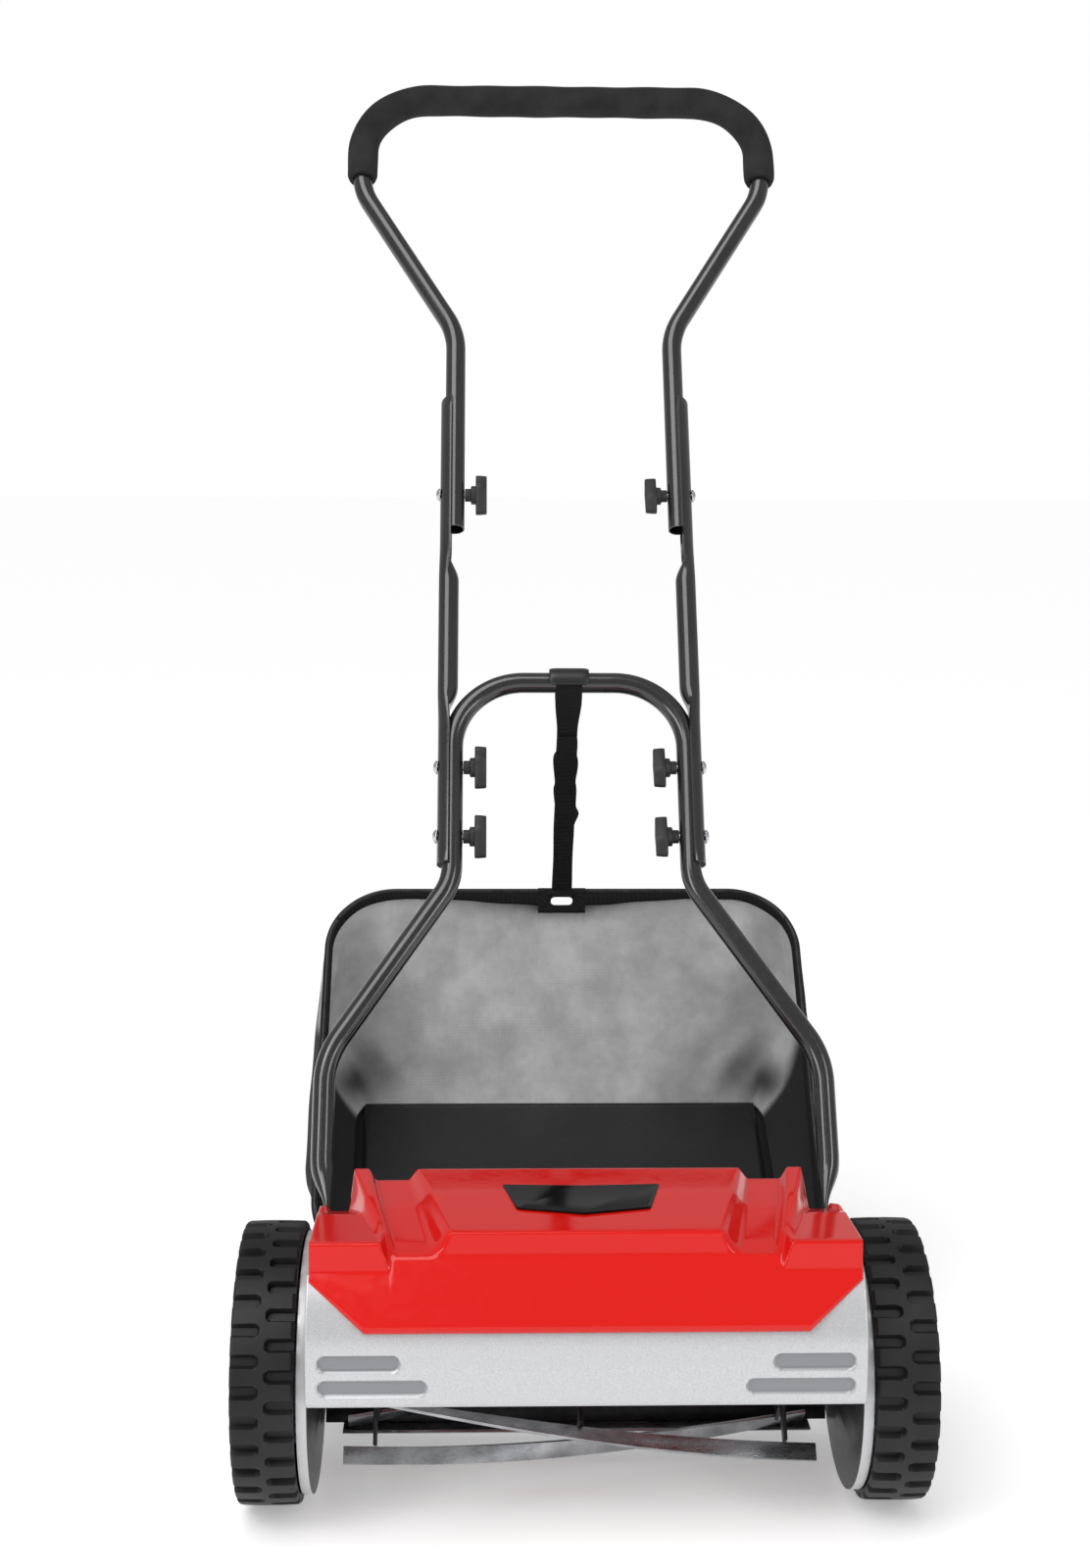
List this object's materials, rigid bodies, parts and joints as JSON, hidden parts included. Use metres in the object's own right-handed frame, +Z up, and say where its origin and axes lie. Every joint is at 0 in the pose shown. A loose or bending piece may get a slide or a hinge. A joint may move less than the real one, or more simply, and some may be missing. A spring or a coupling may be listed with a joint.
{
  "type": "reel mower",
  "caption": "Push reel mower with treaded wheels, helical cutting reel and bed knife, moulded hood, rear roller, tubular handle with foam grip, and a strapped grass bag.",
  "frame": {"origin": "on the ground under the middle of the whole mower's bounding box", "axes": "+X across the mower to the right seen from the front, -Y to the front where the reel cuts, +Z up"},
  "size_m": [0.5526, 0.8066, 1.2086],
  "materials": {
    "silver_plastic": "satin",
    "side_plate_alloy": "satin",
    "red_plastic": "gloss",
    "badge_black": "gloss",
    "dark_steel": "satin",
    "blade_steel": "satin",
    "bright_steel": "satin",
    "tyre_rubber": "matte",
    "black_plastic": "matte",
    "knob_plastic": "matte",
    "tube_paint": "gloss",
    "mid_tube_paint": "gloss",
    "grip_foam": "matte",
    "bag_fabric": "matte",
    "strap_webbing": "matte"
  },
  "bodies": {
    "chassis": {"side_plate_left": "side_plate_alloy", "side_plate_right": "side_plate_alloy", "rear_bar": "dark_steel", "front_housing": "silver_plastic", "hood": "red_plastic", "badge": "badge_black", "reel_bearing_left": "bright_steel", "reel_bearing_right": "bright_steel", "axle_left": "bright_steel", "axle_right": "bright_steel", "pivot_bolt_left": "bright_steel", "pivot_bolt_right": "bright_steel"},
    "reel": {"reel_shaft": "bright_steel", "reel_spider_1": "dark_steel", "reel_spider_2": "dark_steel", "reel_spider_3": "dark_steel", "reel_blade_1": "blade_steel", "reel_blade_2": "blade_steel", "reel_blade_3": "blade_steel", "reel_blade_4": "blade_steel", "reel_blade_5": "blade_steel"},
    "pinion_left": {"pinion_left": "bright_steel"},
    "pinion_right": {"pinion_right": "bright_steel"},
    "wheel_left": {"tyre_left": "tyre_rubber", "wheel_rim_left": "silver_plastic", "hub_cap_left": "silver_plastic"},
    "wheel_right": {"tyre_right": "tyre_rubber", "wheel_rim_right": "silver_plastic", "hub_cap_right": "silver_plastic"},
    "knife": {"bed_knife": "blade_steel", "knife_carrier": "dark_steel", "knife_screw_left": "bright_steel", "knife_screw_right": "bright_steel"},
    "roller_carriage": {"roller_bracket_left": "dark_steel", "roller_bracket_right": "dark_steel", "roller_shaft": "bright_steel"},
    "roller": {"roller": "black_plastic"},
    "height_knob_left": {"height_knob_left": "knob_plastic"},
    "height_knob_right": {"height_knob_right": "knob_plastic"},
    "handle": {"lower_handle": "tube_paint", "mid_tube_left": "mid_tube_paint", "mid_tube_right": "mid_tube_paint", "upper_handle": "tube_paint", "foam_grip": "grip_foam", "bolt_low_left": "bright_steel", "bolt_low_right": "bright_steel", "bolt_middle_left": "bright_steel", "bolt_middle_right": "bright_steel", "bolt_upper_left": "bright_steel", "bolt_upper_right": "bright_steel"},
    "bag": {"bag_frame": "dark_steel", "bag_cloth": "bag_fabric", "bag_floor": "black_plastic"},
    "strap": {"strap": "strap_webbing"},
    "knob_low_left": {"knob_low_left": "knob_plastic"},
    "knob_low_right": {"knob_low_right": "knob_plastic"},
    "knob_middle_left": {"knob_middle_left": "knob_plastic"},
    "knob_middle_right": {"knob_middle_right": "knob_plastic"},
    "knob_upper_left": {"knob_upper_left": "knob_plastic"},
    "knob_upper_right": {"knob_upper_right": "knob_plastic"}
  },
  "joints": [
    {"name": "wheel_left_spin", "type": "hinge", "parent": "chassis", "child": "wheel_left", "pos_m": [0, -0.2838, 0.11], "axis": [1, 0, 0], "continuous": true},
    {"name": "wheel_right_spin", "type": "hinge", "parent": "chassis", "child": "wheel_right", "pos_m": [0, -0.2838, 0.11], "axis": [1, 0, 0], "continuous": true},
    {"name": "pinion_left_spin", "type": "hinge", "parent": "chassis", "child": "pinion_left", "pos_m": [0, -0.2698, 0.07929], "axis": [1, 0, 0], "continuous": true},
    {"name": "pinion_right_spin", "type": "hinge", "parent": "chassis", "child": "pinion_right", "pos_m": [0, -0.2698, 0.07929], "axis": [1, 0, 0], "continuous": true},
    {"name": "reel_spin", "type": "hinge", "parent": "chassis", "child": "reel", "pos_m": [0, -0.2698, 0.07929], "axis": [1, 0, 0], "continuous": true},
    {"name": "knife_adjust", "type": "hinge", "parent": "chassis", "child": "knife", "pos_m": [0, -0.2078, 0.05], "axis": [1, 0, 0], "range_deg": [0, 2.5]},
    {"name": "roller_height", "type": "slide", "parent": "chassis", "child": "roller_carriage", "axis": [0, 0, 1], "range_m": [-0.008, 0.012]},
    {"name": "roller_spin", "type": "hinge", "parent": "roller_carriage", "child": "roller", "pos_m": [0, -0.1338, 0.022], "axis": [1, 0, 0], "continuous": true},
    {"name": "height_knob_left_turn", "type": "hinge", "parent": "roller_carriage", "child": "height_knob_left", "pos_m": [-0.2198, -0.1338, 0.064], "axis": [1, 0, 0], "continuous": true},
    {"name": "height_knob_right_turn", "type": "hinge", "parent": "roller_carriage", "child": "height_knob_right", "pos_m": [0.2198, -0.1338, 0.064], "axis": [1, 0, 0], "continuous": true},
    {"name": "handle_tilt", "type": "hinge", "parent": "chassis", "child": "handle", "pos_m": [0, -0.2268, 0.15], "axis": [1, 0, 0], "range_deg": [0, 20]},
    {"name": "bag_swing", "type": "hinge", "parent": "chassis", "child": "bag", "pos_m": [0, -0.1138, 0.094], "axis": [1, 0, 0], "range_deg": [0, 23]},
    {"name": "strap_swing", "type": "hinge", "parent": "handle", "child": "strap", "pos_m": [0, 0.05011, 0.62011], "axis": [1, 0, 0], "range_deg": [-9.8, 0]},
    {"name": "knob_low_left_turn", "type": "hinge", "parent": "handle", "child": "knob_low_left", "pos_m": [-0.0972, -0.02683, 0.48948], "axis": [1, 0, 0], "continuous": true},
    {"name": "knob_low_right_turn", "type": "hinge", "parent": "handle", "child": "knob_low_right", "pos_m": [0.0972, -0.02683, 0.48948], "axis": [1, 0, 0], "continuous": true},
    {"name": "knob_middle_left_turn", "type": "hinge", "parent": "handle", "child": "knob_middle_left", "pos_m": [-0.0972, 0.00717, 0.54721], "axis": [1, 0, 0], "continuous": true},
    {"name": "knob_middle_right_turn", "type": "hinge", "parent": "handle", "child": "knob_middle_right", "pos_m": [0.0972, 0.00717, 0.54721], "axis": [1, 0, 0], "continuous": true},
    {"name": "knob_upper_left_turn", "type": "hinge", "parent": "handle", "child": "knob_upper_left", "pos_m": [-0.0972, 0.1503, 0.79019], "axis": [1, 0, 0], "continuous": true},
    {"name": "knob_upper_right_turn", "type": "hinge", "parent": "handle", "child": "knob_upper_right", "pos_m": [0.0972, 0.1503, 0.79019], "axis": [1, 0, 0], "continuous": true}
  ],
  "couplings": [
    {"joint": "pinion_left_spin", "follows": "wheel_left_spin", "ratio": 4},
    {"joint": "reel_spin", "follows": "wheel_left_spin", "ratio": 4},
    {"joint": "pinion_right_spin", "follows": "wheel_right_spin", "ratio": 4},
    {"joint": "bag_swing", "follows": "handle_tilt", "ratio": 1.14},
    {"joint": "strap_swing", "follows": "handle_tilt", "ratio": -0.48}
  ]
}
